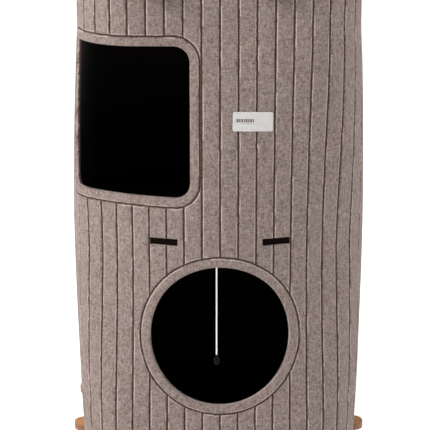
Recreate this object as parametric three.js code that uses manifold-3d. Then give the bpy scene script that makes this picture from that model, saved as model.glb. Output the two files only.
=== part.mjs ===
// Felt cat tower: one thick felt sheet wrapped round three plywood plates into an upright tube.
// Millimetres, +Z up, front faces -Y, origin on the floor under the middle of the tube.
// Places on the sheet are given as s, the run along the sheet from the middle of the front
// (positive to the right), and z, the height above the floor.
import * as THREE from 'three';
import { mergeVertices } from 'three/addons/utils/BufferGeometryUtils.js';
import Module from 'manifold-3d';

const wasm = await Module();
wasm.setup();

// ---- Driving dimensions ----
const feltThickness = 8;
const stripWidth = 25; // engraved strips of the felt
const stripsRound = 57;
const baseCornerRun = 146; // run of the sheet round one corner at the base plate
const topCornerRun = 135; // the same at the top plate
const bulgeFrontRun = 200; // half-run of the front where the tube bulges most
const bulgeSideRun = 119;
const bulgeFrontLean = THREE.MathUtils.degToRad(40.3); // how far the front has turned at its end
const bulgeSideLean = THREE.MathUtils.degToRad(10.2);
const bulgeFullness = 1.43; // higher keeps the bulge nearer the plates
const bulgeTopDrop = 55; // the bulge has died out this far under the top plate

const floorGap = 4; // felt hem above the floor
const footHeight = 20;
const plateThickness = 9;
const lowerDenHeight = 324; // base plate's top to the shelf's top
const upperDenHeight = 343; // shelf's top to the top plate's top
const rimHeight = 92; // felt above the top plate

const entranceHalfWidth = 100; // along the sheet
const entranceHalfHeight = 104.5;
const entranceRise = 181; // entrance centre above the base plate
const windowStart = -245; // corner window, along the sheet
const windowEnd = -41;
const windowSill = 58; // above the shelf
const windowHeight = 209;
const windowCornerRadius = 22;

const tongueWidth = 38;
const frontTongueOffset = 79; // the front's and the back's two tongues, from the middle
const sideTongueOffset = 73;
const tongueReach = 17; // past the felt
const tongueRounding = 17;
const shelfTongueReach = -3; // the shelf's tongues stop inside the felt
const slotPlay = 1; // round a tongue, on every side
const plateClearance = 0.5; // plate edge to felt

const seamGap = 1.5;
const closingStripWidth = 60;
const closingStripThickness = 4;
const closingStripEndGap = 10; // to the plates above and below
const seamScrewOffset = 18; // from the seam to each column of screws
const seamScrewInset = 55; // from a closing strip's end to its screws
const seamScrewHeadRadius = 6;
const seamScrewHeadHeight = 1.6;
const seamScrewShankRadius = 1.9;
const seamScrewShort = 3; // shank's end to the closing strip's inner face
const sleeveRadius = 3;
const sleeveShort = 1; // sleeve's mouth to the felt's outer face
const sleeveFloor = 2; // sleeve's bore stops this far from the strip's inner face
const sleeveHoleClearance = 0.4;

const footRadius = 18;
const footPlace = 128; // from the middle, both ways
const footScrewRadius = 1.6;
const footScrewBite = 7;
const footScrewHeadRadius = 4;
const footScrewHeadHeight = 2.5;
const footScrewRecess = 8;

const labelMiddle = 44.5;
const labelHeight = 518;
const labelWidth = 55;
const labelTall = 26.5;
const labelThickness = 0.8;

const toyX = -4;
const toyY = -150;
const eyeWire = 1.25;
const eyeRadius = 4.75;
const eyeDrop = 4; // shelf to the eye's outer edge
const eyeBite = 7;
const ringWire = 0.8;
const ringRadius = 6;
const cordRadius = 1.25;
const loopRadius = 4;
const knotRadius = 2.8;
const cordLength = 144;
const cordStep = 6;
const dropRadius = 4.5;
const dropLength = 16;

const cushionThickness = 46;
const cushionPlay = 1.5; // cushion edge to the heads of the rim's sleeves
const cushionRounding = 12;

const gap = 0.3; // between pieces that touch
const holeOverrun = 12; // how far a cutter runs past the face it cuts
const columnRun = 25; // the sheet's facets
const rowHeight = 85;
const roundSides = 12;

// ---- Levels and runs that follow ----
const perimeter = stripWidth * stripsRound;
const baseTop = footHeight + plateThickness;
const shelfTop = baseTop + lowerDenHeight;
const topPlateTop = shelfTop + upperDenHeight;
const towerTop = topPlateTop + rimHeight;
const bulgeLow = baseTop;
const topPlateUnder = topPlateTop - plateThickness;
const bulgeHigh = topPlateUnder - bulgeTopDrop;
const plateTops = [baseTop, shelfTop, topPlateTop];

// The closing strips inside the back seam, one between each pair of plates and one in the rim.
const closingStrips = [
  { name: 'lower', low: baseTop + closingStripEndGap, high: shelfTop - plateThickness - closingStripEndGap },
  { name: 'upper', low: shelfTop + closingStripEndGap, high: topPlateUnder - closingStripEndGap },
  { name: 'rim', low: topPlateTop + cushionThickness + closingStripEndGap, high: towerTop },
];

const materials = {
  felt: new THREE.MeshStandardMaterial({ color: 0x85766f, roughness: 0.95, metalness: 0 }),
  plywood: new THREE.MeshStandardMaterial({ color: 0xa87c58, roughness: 0.6, metalness: 0 }),
  steel: new THREE.MeshStandardMaterial({ color: 0xb4b5b8, roughness: 0.35, metalness: 1 }),
  rubber: new THREE.MeshStandardMaterial({ color: 0x26241f, roughness: 0.85, metalness: 0 }),
  label: new THREE.MeshStandardMaterial({ color: 0xe6e4e0, roughness: 0.7, metalness: 0 }),
  cord: new THREE.MeshStandardMaterial({ color: 0xefece6, roughness: 0.85, metalness: 0 }),
  toy: new THREE.MeshStandardMaterial({ color: 0x4a3226, roughness: 0.95, metalness: 0 }),
  cushion: new THREE.MeshStandardMaterial({ color: 0x9a8f88, roughness: 0.92, metalness: 0 }),
};

// ---- The tube's section ----
// A quarter of the section, from the middle of the front to the middle of the right side, is
// three arcs: front, corner, side. Each keeps its run of felt and turns through its own angle.
function quarterArcs(z) {
  const t = THREE.MathUtils.clamp((z - bulgeLow) / (bulgeHigh - bulgeLow), 0, 1);
  const bulge = 1 - Math.abs(2 * t - 1) ** bulgeFullness;
  const quarter = perimeter / 4;
  const plateCornerRun = THREE.MathUtils.lerp(baseCornerRun, topCornerRun, t);
  const flatRun = (quarter - plateCornerRun) / 2;
  const front = { run: THREE.MathUtils.lerp(flatRun, bulgeFrontRun, bulge), turn: bulge * bulgeFrontLean };
  const side = { run: THREE.MathUtils.lerp(flatRun, bulgeSideRun, bulge), turn: bulge * bulgeSideLean };
  const corner = { run: quarter - front.run - side.run, turn: Math.PI / 2 - front.turn - side.turn };
  return [front, corner, side];
}

// Walks along arcs for a run: how far it gets in x and y, and the heading there.
function walk(arcs, run) {
  let x = 0;
  let y = 0;
  let heading = 0;
  let left = run;
  for (const arc of arcs) {
    const part = Math.min(left, arc.run);
    const turn = (arc.turn * part) / arc.run;
    const next = heading + turn;
    if (Math.abs(turn) < 1e-6) {
      x += part * Math.cos(heading);
      y += part * Math.sin(heading);
    } else {
      x += (part / turn) * (Math.sin(next) - Math.sin(heading));
      y += (part / turn) * (Math.cos(heading) - Math.cos(next));
    }
    heading = next;
    left -= part;
  }
  return { x, y, heading };
}

// The point at run s and height z, out millimetres proud of the felt's outer face.
function onSheet(s, z, out) {
  const arcs = quarterArcs(z);
  const quarter = perimeter / 4;
  const run = Math.abs(s);
  const behind = run > quarter;
  const at = walk(arcs, behind ? 2 * quarter - run : run);
  const depth = walk(arcs, quarter).y;
  const x = at.x + out * Math.sin(at.heading);
  const y = at.y - depth - out * Math.cos(at.heading);
  return new THREE.Vector3(s < 0 ? -x : x, behind ? -y : y, z);
}

// ---- Closed meshes ----
function toSolid(geometry) {
  const bare = new THREE.BufferGeometry();
  bare.setAttribute('position', geometry.getAttribute('position'));
  bare.setIndex(geometry.getIndex());
  const merged = mergeVertices(bare, 1e-4);
  const corners = merged.getIndex().array;
  const kept = [];
  for (let i = 0; i < corners.length; i += 3) {
    const [a, b, c] = corners.slice(i, i + 3);
    if (a !== b && b !== c && a !== c) kept.push(a, b, c);
  }
  const vertProperties = new Float32Array(merged.getAttribute('position').array);
  return new wasm.Manifold(new wasm.Mesh({ numProp: 3, vertProperties, triVerts: new Uint32Array(kept) }));
}

function toGeometry(solid) {
  const mesh = solid.getMesh();
  const geometry = new THREE.BufferGeometry();
  geometry.setAttribute('position', new THREE.BufferAttribute(new Float32Array(mesh.vertProperties), 3));
  geometry.setIndex(new THREE.BufferAttribute(new Uint32Array(mesh.triVerts), 1));
  geometry.computeVertexNormals();
  return geometry;
}

function cut(geometry, cutters) {
  let solid = toSolid(geometry);
  for (const cutter of cutters) solid = solid.subtract(toSolid(cutter));
  return toGeometry(solid);
}

// A slab that lies along the sheet: columns are runs s, rowsAt(s) gives each column's heights,
// and the slab lies between inner and outer, both measured out from the felt's outer face.
function wrappedSlab(columns, rowsAt, inner, outer) {
  const rows = rowsAt(columns[0]).length;
  const positions = [];
  for (const s of columns) {
    for (const z of rowsAt(s)) {
      positions.push(...onSheet(s, z, outer).toArray(), ...onSheet(s, z, inner).toArray());
    }
  }
  const at = (column, row, side) => 2 * (column * rows + row) + side;
  const triangles = [];
  const quad = (a, b, c, d) => triangles.push(a, b, c, a, c, d);
  for (let i = 0; i + 1 < columns.length; i++) {
    for (let j = 0; j + 1 < rows; j++) {
      quad(at(i, j, 0), at(i + 1, j, 0), at(i + 1, j + 1, 0), at(i, j + 1, 0));
      quad(at(i, j, 1), at(i, j + 1, 1), at(i + 1, j + 1, 1), at(i + 1, j, 1));
    }
    quad(at(i, 0, 0), at(i, 0, 1), at(i + 1, 0, 1), at(i + 1, 0, 0));
    quad(at(i, rows - 1, 0), at(i + 1, rows - 1, 0), at(i + 1, rows - 1, 1), at(i, rows - 1, 1));
  }
  const last = columns.length - 1;
  for (let j = 0; j + 1 < rows; j++) {
    quad(at(0, j, 0), at(0, j + 1, 0), at(0, j + 1, 1), at(0, j, 1));
    quad(at(last, j, 0), at(last, j, 1), at(last, j + 1, 1), at(last, j + 1, 0));
  }
  const geometry = new THREE.BufferGeometry();
  geometry.setAttribute('position', new THREE.BufferAttribute(new Float32Array(positions), 3));
  geometry.setIndex(triangles);
  return geometry;
}

function steps(start, end, longest) {
  const count = Math.max(1, Math.ceil((end - start) / longest - 1e-6));
  return Array.from({ length: count + 1 }, (_, i) => start + ((end - start) * i) / count);
}

// Heights of the sheet's facets: every level where something meets it, and steps between.
function facetLevels() {
  const stripEnds = closingStrips.flatMap(({ low, high }) => [low, high]);
  const fixed = [floorGap, ...plateTops, bulgeHigh, topPlateUnder, ...stripEnds, towerTop];
  const sorted = [...new Set(fixed)].sort((a, b) => a - b);
  return sorted.flatMap((z, i) => (i === 0 ? [z] : steps(sorted[i - 1], z, rowHeight).slice(1)));
}

const sheetLevels = facetLevels();

// Facet corners round half the sheet, shared by the felt, the plates and the cushion.
const halfColumns = steps(0, perimeter / 2 - seamGap / 2, columnRun);
const sheetColumns = [...halfColumns.slice(1).reverse().map((s) => -s), ...halfColumns];

// ---- Cutters for the felt ----
const cutterInner = -feltThickness - holeOverrun;

function entranceCutter() {
  const middle = baseTop + entranceRise;
  const columns = steps(-90, 90, 10).map((a) => entranceHalfWidth * Math.sin(THREE.MathUtils.degToRad(a)));
  const rowsAt = (s) => {
    const half = entranceHalfHeight * Math.sqrt(Math.max(0, 1 - (s / entranceHalfWidth) ** 2));
    return steps(-1, 1, 0.5).map((share) => middle + share * half);
  };
  return wrappedSlab(columns, rowsAt, cutterInner, holeOverrun);
}

function windowCutter() {
  const sill = shelfTop + windowSill;
  const turns = steps(0, 90, 15).map((a) => THREE.MathUtils.degToRad(a));
  const quarter = turns.map((a) => windowCornerRadius * (1 - Math.cos(a)));
  const straight = steps(windowStart + windowCornerRadius, windowEnd - windowCornerRadius, columnRun);
  const columns = [
    ...quarter.map((d) => windowStart + d),
    ...straight.slice(1, -1),
    ...quarter.map((d) => windowEnd - d).reverse(),
  ];
  const rowsAt = (s) => {
    const fromEnd = Math.min(s - windowStart, windowEnd - s, windowCornerRadius);
    const inCorner = windowCornerRadius - fromEnd;
    const lift = windowCornerRadius - Math.sqrt(windowCornerRadius ** 2 - inCorner ** 2);
    return steps(0, 1, 1 / 3).map((share) => sill + lift + share * (windowHeight - 2 * lift));
  };
  return wrappedSlab(columns, rowsAt, cutterInner, holeOverrun);
}

// The middles of the eight tongues round a plate.
function tongueMiddles() {
  const middles = [];
  for (const hand of [-1, 1]) {
    middles.push(hand * frontTongueOffset, hand * (perimeter / 2 - frontTongueOffset));
    middles.push(hand * (perimeter / 4 - sideTongueOffset), hand * (perimeter / 4 + sideTongueOffset));
  }
  return middles.sort((a, b) => a - b);
}

function slotCutter(middle, plateTop) {
  const half = tongueWidth / 2 + slotPlay;
  const rows = [plateTop - plateThickness - slotPlay, plateTop + slotPlay];
  return wrappedSlab([middle - half, middle, middle + half], () => rows, cutterInner, holeOverrun);
}

// ---- Seam fasteners ----
function seamScrewPlaces() {
  const places = [];
  for (const { name, low, high } of closingStrips) {
    const twoRows = high - low > 3 * seamScrewInset;
    const heights = twoRows ? [low + seamScrewInset, high - seamScrewInset] : [(low + high) / 2];
    heights.forEach((z, row) => {
      for (const [side, hand] of [['left', -1], ['right', 1]]) {
        const s = hand * (perimeter / 2 - seamScrewOffset);
        places.push({ name: `${name}_${row + 1}_${side}`, s, z });
      }
    });
  }
  return places;
}

// A cylinder along +Z from low to high.
function rod(radius, low, high, sides = roundSides) {
  const geometry = new THREE.CylinderGeometry(radius, radius, high - low, sides);
  geometry.rotateX(Math.PI / 2);
  geometry.translate(0, 0, (low + high) / 2);
  return geometry;
}

// A turned piece about +Z; the profile runs from the axis to the axis, lowest point first.
function turned(profile, sides = roundSides) {
  const geometry = new THREE.LatheGeometry(profile.map(([r, z]) => new THREE.Vector2(r, z)), sides);
  geometry.rotateX(Math.PI / 2);
  return geometry;
}

// Moves a piece that stands about +Z onto the sheet's facet at s and z, along its outward normal.
function placeOnFacet(geometry, { s, z }) {
  const column = sheetColumns.findIndex((c) => c > s) - 1;
  const row = sheetLevels.findIndex((level) => level > z) - 1;
  const across = (s - sheetColumns[column]) / (sheetColumns[column + 1] - sheetColumns[column]);
  const up = (z - sheetLevels[row]) / (sheetLevels[row + 1] - sheetLevels[row]);
  const corner = (i, j) => onSheet(sheetColumns[column + i], sheetLevels[row + j], 0);
  const low = corner(0, 0).lerp(corner(1, 0), across);
  const high = corner(0, 1).lerp(corner(1, 1), across);
  const along = corner(1, 0).sub(corner(0, 0));
  const normal = along.cross(high.clone().sub(low)).normalize();
  const turn = new THREE.Quaternion().setFromUnitVectors(new THREE.Vector3(0, 0, 1), normal);
  const place = new THREE.Matrix4().makeRotationFromQuaternion(turn);
  place.setPosition(low.lerp(high, up));
  return geometry.clone().applyMatrix4(place);
}

const tower = new THREE.Group();
tower.name = 'cat_tower';

function add(name, geometry, material, parent = tower) {
  const mesh = new THREE.Mesh(geometry, material);
  mesh.name = name;
  parent.add(mesh);
  return mesh;
}

// ---- Felt sheet ----
function buildFelt() {
  const slab = wrappedSlab(sheetColumns, () => sheetLevels, -feltThickness, 0);
  const holeRadius = sleeveRadius + sleeveHoleClearance;
  const hole = rod(holeRadius, cutterInner, holeOverrun);
  const cutters = [entranceCutter(), windowCutter()];
  for (const plateTop of plateTops) {
    for (const middle of tongueMiddles()) cutters.push(slotCutter(middle, plateTop));
  }
  for (const place of seamScrewPlaces()) cutters.push(placeOnFacet(hole, place));
  add('felt_shell', cut(slab, cutters), materials.felt);
}

// ---- Plates ----
// The outline of a plate that fills the tube at height z. Its tongues reach past the felt's outer
// face by reach, with rounded ends.
function plateOutline(z, reach) {
  const half = tongueWidth / 2;
  const edge = -feltThickness - plateClearance;
  const rounding = Math.max(0, Math.min(tongueRounding, reach));
  const points = [];
  const middles = tongueMiddles();
  for (const s of sheetColumns) {
    if (!middles.some((middle) => Math.abs(s - middle) < half + 1)) points.push([s, edge]);
  }
  for (const middle of middles) {
    const arc = rounding > 0 ? steps(0, 90, 22.5).map((a) => THREE.MathUtils.degToRad(a)) : [0];
    const corner = arc.map((a) => [
      half - rounding + rounding * Math.cos(a),
      reach - rounding + rounding * Math.sin(a),
    ]);
    points.push([middle - half, edge]);
    for (const [dx, out] of corner) points.push([middle - dx, out]);
    for (const [dx, out] of [...corner].reverse()) points.push([middle + dx, out]);
    points.push([middle + half, edge]);
  }
  // Runs rise round the plate; where two points share a run, the order they were made in stands.
  points.sort((a, b) => a[0] - b[0]);
  return new THREE.Shape(points.map(([s, out]) => {
    const at = onSheet(s, z, out);
    return new THREE.Vector2(at.x, at.y);
  }));
}

function plate(plateTop, reach) {
  const outline = plateOutline(plateTop - plateThickness / 2, reach);
  const geometry = new THREE.ExtrudeGeometry(outline, { depth: plateThickness, bevelEnabled: false });
  geometry.translate(0, 0, plateTop - plateThickness);
  return geometry;
}

const footPlaces = [
  ['front_left', -footPlace, -footPlace],
  ['front_right', footPlace, -footPlace],
  ['rear_left', -footPlace, footPlace],
  ['rear_right', footPlace, footPlace],
];

function buildPlates() {
  const pilot = rod(footScrewRadius + gap, footHeight - 1, footHeight + footScrewBite + gap);
  const pilots = footPlaces.map(([, x, y]) => pilot.clone().translate(x, y, 0));
  add('base_plate', cut(plate(baseTop, tongueReach), pilots), materials.plywood);

  const shelfUnder = shelfTop - plateThickness;
  const eyeHole = rod(eyeWire + gap, shelfUnder - 1, shelfUnder + eyeBite + gap).translate(toyX, toyY, 0);
  add('middle_shelf', cut(plate(shelfTop, shelfTongueReach), [eyeHole]), materials.plywood);

  add('top_plate', cut(plate(topPlateTop, tongueReach), []), materials.plywood);
}

// ---- Back seam ----
function buildSeam() {
  const outer = -feltThickness - gap;
  const inner = outer - closingStripThickness;
  // The strip crosses the seam, so its far half is the mirror image of the near one.
  const edge = perimeter / 2 - closingStripWidth / 2;
  const right = [edge, ...halfColumns.filter((s) => s > edge)];
  const columns = [...right, ...right.map((s) => -s).reverse()];
  const sleeveHole = rod(sleeveRadius + sleeveHoleClearance, cutterInner, holeOverrun);
  const places = seamScrewPlaces();
  for (const { name, low, high } of closingStrips) {
    const rows = sheetLevels.filter((z) => z >= low && z <= high);
    const slab = wrappedSlab(columns, () => rows, inner, outer);
    const holes = places.filter((p) => p.name.startsWith(name)).map((p) => placeOnFacet(sleeveHole, p));
    add(`closing_strip_${name}`, cut(slab, holes), materials.felt);
  }

  const head = seamScrewHeadRadius;
  const screw = turned([
    [0, inner + seamScrewShort],
    [seamScrewShankRadius, inner + seamScrewShort],
    [seamScrewShankRadius, gap],
    [head, gap],
    [head, gap + seamScrewHeadHeight * 0.5],
    [head * 0.75, gap + seamScrewHeadHeight],
    [0, gap + seamScrewHeadHeight],
  ]);
  const bore = seamScrewShankRadius + gap;
  const sleeveEnd = inner - gap;
  const sleeve = turned([
    [0, sleeveEnd - seamScrewHeadHeight],
    [head * 0.75, sleeveEnd - seamScrewHeadHeight],
    [head, sleeveEnd - seamScrewHeadHeight * 0.5],
    [head, sleeveEnd],
    [sleeveRadius, sleeveEnd],
    [sleeveRadius, -sleeveShort],
    [bore, -sleeveShort],
    [bore, inner + sleeveFloor],
    [0, inner + sleeveFloor],
  ]);
  for (const place of places) {
    add(`seam_screw_${place.name}`, placeOnFacet(screw, place), materials.steel);
    add(`seam_sleeve_${place.name}`, placeOnFacet(sleeve, place), materials.steel);
  }
}

// ---- Feet ----
function buildFeet() {
  const recessRadius = footScrewHeadRadius + 1;
  const foot = turned([
    [recessRadius, 0],
    [footRadius - 2, 0],
    [footRadius, 2],
    [footRadius, footHeight - gap],
    [footScrewRadius + gap, footHeight - gap],
    [footScrewRadius + gap, footScrewRecess],
    [recessRadius, footScrewRecess],
    [recessRadius, 0],
  ]);
  const headLow = footScrewRecess - gap - footScrewHeadHeight;
  const screw = turned([
    [0, headLow],
    [footScrewHeadRadius * 0.8, headLow],
    [footScrewHeadRadius, headLow + 1],
    [footScrewHeadRadius, headLow + footScrewHeadHeight],
    [footScrewRadius, headLow + footScrewHeadHeight],
    [footScrewRadius, footHeight + footScrewBite - 2],
    [0, footHeight + footScrewBite],
  ]);
  for (const [name, x, y] of footPlaces) {
    add(`foot_${name}`, foot, materials.rubber).position.set(x, y, 0);
    add(`foot_screw_${name}`, screw, materials.steel).position.set(x, y, 0);
  }
}

// ---- Label ----
function buildLabel() {
  const half = labelWidth / 2;
  const rows = steps(labelHeight - labelTall / 2, labelHeight + labelTall / 2, labelTall);
  const columns = steps(labelMiddle - half, labelMiddle + half, columnRun / 2);
  add('label', wrappedSlab(columns, () => rows, gap, gap + labelThickness), materials.label);
}

// ---- Hanging toy ----
// A screw eye in the shelf carries a ring, the ring carries the cord's loop, and the cord the toy.
function ringOf(radius, wire, x, y, z, acrossX) {
  const geometry = new THREE.TorusGeometry(radius, wire, 8, 20);
  geometry.rotateX(Math.PI / 2);
  if (acrossX) geometry.rotateZ(Math.PI / 2);
  geometry.translate(x, y, z);
  return geometry;
}

function buildToy() {
  const shelfUnder = shelfTop - plateThickness;
  const eyeMiddle = shelfUnder - eyeDrop - eyeWire - eyeRadius;
  const eye = toSolid(ringOf(eyeRadius, eyeWire, toyX, toyY, eyeMiddle, true));
  const shank = rod(eyeWire, eyeMiddle + eyeRadius, shelfUnder + eyeBite).translate(toyX, toyY, 0);
  add('screw_eye', toGeometry(eye.add(toSolid(shank))), materials.steel);

  const ringTop = eyeMiddle - eyeRadius + eyeWire + ringWire + gap;
  const ringMiddle = ringTop - ringRadius;
  add('toy_ring', ringOf(ringRadius, ringWire, toyX, toyY, ringMiddle, false), materials.steel);

  const loopTop = ringMiddle - ringRadius + ringWire + cordRadius + gap;
  const loopMiddle = loopTop - loopRadius;
  add('cord_loop', ringOf(loopRadius, cordRadius, toyX, toyY, loopMiddle, true), materials.cord);

  const knotTop = loopMiddle - loopRadius - cordRadius - gap;
  const knot = steps(-90, 90, 30).map((a) => {
    const angle = THREE.MathUtils.degToRad(a);
    return [knotRadius * Math.cos(angle), knotTop - knotRadius + knotRadius * Math.sin(angle)];
  });
  add('cord_knot', turned(knot, 10), materials.cord).position.set(toyX, toyY, 0);

  const cordTop = knotTop - 2 * knotRadius - gap;
  const cordLow = cordTop - cordLength;
  const start = new THREE.Vector3(toyX, toyY, cordTop);
  const route = new THREE.LineCurve3(start, start.clone().setZ(cordLow));
  const section = new THREE.Shape(steps(0, 315, 45).map((a) => {
    const angle = THREE.MathUtils.degToRad(a);
    return new THREE.Vector2(cordRadius * Math.cos(angle), cordRadius * Math.sin(angle));
  }));
  const cordSteps = Math.ceil(cordLength / cordStep);
  const along = { extrudePath: route, steps: cordSteps, bevelEnabled: false };
  const cord = new THREE.ExtrudeGeometry(section, along);
  add('toy_cord', cord, materials.cord);

  const dropTop = cordLow - gap;
  const drop = turned([
    [0, -dropLength],
    [dropRadius * 0.7, -dropLength * 0.9],
    [dropRadius, -dropLength * 0.65],
    [dropRadius * 0.85, -dropLength * 0.35],
    [dropRadius * 0.5, -dropLength * 0.08],
    [dropRadius * 0.3, 0],
    [0, 0],
  ]);
  add('felt_drop', drop, materials.toy).position.set(toyX, toyY, dropTop);
}

// ---- Cushion on the top plate ----
function buildCushion() {
  const low = topPlateTop + gap;
  const seamFittings = gap + closingStripThickness + gap + seamScrewHeadHeight;
  const edge = -feltThickness - seamFittings - cushionPlay - cushionRounding;
  const outline = new THREE.Shape(sheetColumns.map((s) => {
    const at = onSheet(s, low, edge);
    return new THREE.Vector2(at.x, at.y);
  }));
  const geometry = new THREE.ExtrudeGeometry(outline, {
    depth: cushionThickness - 2 * cushionRounding,
    bevelThickness: cushionRounding,
    bevelSize: cushionRounding,
    bevelSegments: 2,
  });
  geometry.translate(0, 0, low + cushionRounding);
  add('top_cushion', toGeometry(toSolid(geometry)), materials.cushion);
}

buildFelt();
buildPlates();
buildSeam();
buildFeet();
buildLabel();
buildToy();
buildCushion();

export default tower;
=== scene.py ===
"""Felt cat tower: a thick grooved felt sheet wrapped round three plywood plates."""
import math
from functools import lru_cache

import bmesh
import bpy
from mathutils import Matrix, Vector, geometry, noise
from mathutils.bvhtree import BVHTree


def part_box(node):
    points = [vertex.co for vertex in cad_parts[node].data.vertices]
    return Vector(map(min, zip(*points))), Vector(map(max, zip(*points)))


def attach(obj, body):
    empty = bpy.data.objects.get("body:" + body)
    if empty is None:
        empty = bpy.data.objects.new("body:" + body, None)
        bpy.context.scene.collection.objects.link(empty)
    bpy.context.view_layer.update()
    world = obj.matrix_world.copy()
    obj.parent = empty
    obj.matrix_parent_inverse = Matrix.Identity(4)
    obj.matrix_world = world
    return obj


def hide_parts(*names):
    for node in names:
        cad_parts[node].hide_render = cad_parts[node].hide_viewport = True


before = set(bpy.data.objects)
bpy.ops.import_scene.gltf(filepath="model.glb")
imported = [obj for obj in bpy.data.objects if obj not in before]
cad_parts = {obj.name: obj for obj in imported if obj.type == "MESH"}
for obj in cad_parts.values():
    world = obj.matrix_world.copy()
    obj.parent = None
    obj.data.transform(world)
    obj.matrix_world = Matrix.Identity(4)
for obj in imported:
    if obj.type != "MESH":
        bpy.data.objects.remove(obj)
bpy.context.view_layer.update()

MM = 0.001
TINY = 1e-6  # what counts as nothing, in metres, radians or shares

# ---- Camera ----
CAMERA_PLACE = Vector((-0.03475, -2.6370, 1.0911))
CAMERA_DOWN = math.radians(16.15)
CAMERA_TURN = math.radians(-0.656)
LENS = 154.4
SENSOR = 36.0

camera = bpy.data.objects.new("camera", bpy.data.cameras.new("camera"))
camera.data.lens = LENS
camera.data.sensor_width = SENSOR
camera.location = CAMERA_PLACE
camera.rotation_euler = (math.pi / 2 - CAMERA_DOWN, 0, CAMERA_TURN)
bpy.context.scene.collection.objects.link(camera)
bpy.context.scene.camera = camera

# ---- The tower's own measures, as it is designed ----
FELT = 8 * MM
STRIP = 25 * MM
STRIPS_ROUND = 57
ROUND = STRIP * STRIPS_ROUND
BASE_CORNER_RUN = 146 * MM
TOP_CORNER_RUN = 135 * MM
BULGE_FRONT_RUN = 200 * MM
BULGE_SIDE_RUN = 119 * MM
BULGE_FRONT_LEAN = math.radians(40.3)
BULGE_SIDE_LEAN = math.radians(10.2)
BULGE_FULLNESS = 1.43
BULGE_TOP_DROP = 55 * MM
PLATE_CLEARANCE = 0.5 * MM
SEAM_GAP = 0.06 * MM
ENTRANCE_HALF_WIDTH = 100 * MM
ENTRANCE_HALF_HEIGHT = 104.5 * MM
ENTRANCE_RISE = 181 * MM
WINDOW_START = -245 * MM
WINDOW_END = -41 * MM
WINDOW_SILL = 58 * MM
WINDOW_HEIGHT = 209 * MM
WINDOW_CORNER = 22 * MM
TONGUE_WIDTH = 38 * MM
FRONT_TONGUE_OFFSET = 79 * MM
SIDE_TONGUE_OFFSET = 73 * MM
TONGUE_REACH = 17 * MM
TONGUE_ROUNDING = 17 * MM
SHELF_TONGUE_REACH = -3 * MM
SLOT_FIT = 0.1 * MM
OPEN_SLOT_PLAY = 1 * MM  # beside the tongue; above and below it comes OPEN_SLOT_FIT
OPEN_SLOT_FIT = 0.6 * MM
SEAM_SCREW_OFFSET = 18 * MM
SEAM_SCREW_INSET = 55 * MM
SEAM_HOLE = 3.4 * MM
CLOSING_WIDTH = 60 * MM
CLOSING_THICKNESS = 4 * MM
HEAD_RADIUS = 6 * MM
HEAD_HEIGHT = 1.6 * MM
GAP = 0.3 * MM  # between pieces that lie against each other
CUSHION_PLAY = 1.5 * MM
LABEL_MIDDLE = 44.5 * MM
LABEL_WIDTH = 55 * MM
LABEL_THICKNESS = 0.8 * MM
LABEL_TILT = math.radians(-1.6)
CORD_RADIUS = 1.25 * MM
STRANDS = 3

# ---- Levels, from the frame ----
HEM, TOWER_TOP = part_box("felt_shell")[0].z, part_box("felt_shell")[1].z
BASE_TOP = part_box("base_plate")[1].z
BASE_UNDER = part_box("base_plate")[0].z
PLATE = BASE_TOP - BASE_UNDER
SHELF_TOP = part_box("middle_shelf")[1].z
TOP_PLATE_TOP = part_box("top_plate")[1].z
BULGE_LOW, BULGE_HIGH = BASE_TOP, TOP_PLATE_TOP - PLATE - BULGE_TOP_DROP
STRIPS_BEHIND_SEAM = {
    part: (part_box(f"closing_strip_{part}")[0].z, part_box(f"closing_strip_{part}")[1].z)
    for part in ("lower", "upper", "rim")
}


def lerp(a, b, t):
    return a + (b - a) * t


# ---- The tube's section ----
@lru_cache(maxsize=None)
def quarter_arcs(z):
    """Front, corner and side arcs of a quarter of the section at height z: (run, turn)."""
    t = min(1, max(0, (z - BULGE_LOW) / (BULGE_HIGH - BULGE_LOW)))
    bulge = 1 - abs(2 * t - 1) ** BULGE_FULLNESS
    flat = (ROUND / 4 - lerp(BASE_CORNER_RUN, TOP_CORNER_RUN, t)) / 2
    front = (lerp(flat, BULGE_FRONT_RUN, bulge), bulge * BULGE_FRONT_LEAN)
    side = (lerp(flat, BULGE_SIDE_RUN, bulge), bulge * BULGE_SIDE_LEAN)
    corner = (ROUND / 4 - front[0] - side[0], math.pi / 2 - front[1] - side[1])
    return front, corner, side


def walk(arcs, run):
    """Where a run along arcs ends: x, y and heading."""
    x = y = heading = 0.0
    for length, whole_turn in arcs:
        part = min(run, length)
        turn = whole_turn * part / length
        onward = heading + turn
        if abs(turn) < TINY:
            x += part * math.cos(heading)
            y += part * math.sin(heading)
        else:
            x += part / turn * (math.sin(onward) - math.sin(heading))
            y += part / turn * (math.cos(heading) - math.cos(onward))
        heading = onward
        run -= part
    return x, y, heading


@lru_cache(maxsize=None)
def depth_at(z):
    """How far the middle of the front is from the middle of the tube."""
    return walk(quarter_arcs(z), ROUND / 4)[1]


def on_sheet(s, z, out=0.0):
    """The point at run s from the middle of the front and height z, out proud of the outer face."""
    if s > ROUND / 2:
        s -= ROUND
    run = abs(s)
    behind = run > ROUND / 4
    level = round(z, 6)
    x, y, heading = walk(quarter_arcs(level), ROUND / 2 - run if behind else run)
    x += out * math.sin(heading)
    y -= depth_at(level) + out * math.cos(heading)
    return Vector((-x if s < 0 else x, -y if behind else y, z))


def sheet_turn(s, z):
    """Place and turn of a small piece whose own +Z is the sheet's outward normal at s, z."""
    along = on_sheet(s + MM, z) - on_sheet(s - MM, z)
    up = on_sheet(s, z + MM) - on_sheet(s, z - MM)
    normal = along.cross(up).normalized()
    turn = normal.to_track_quat("Z", "Y").to_matrix().to_4x4()
    return Matrix.Translation(on_sheet(s, z)) @ turn


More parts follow.
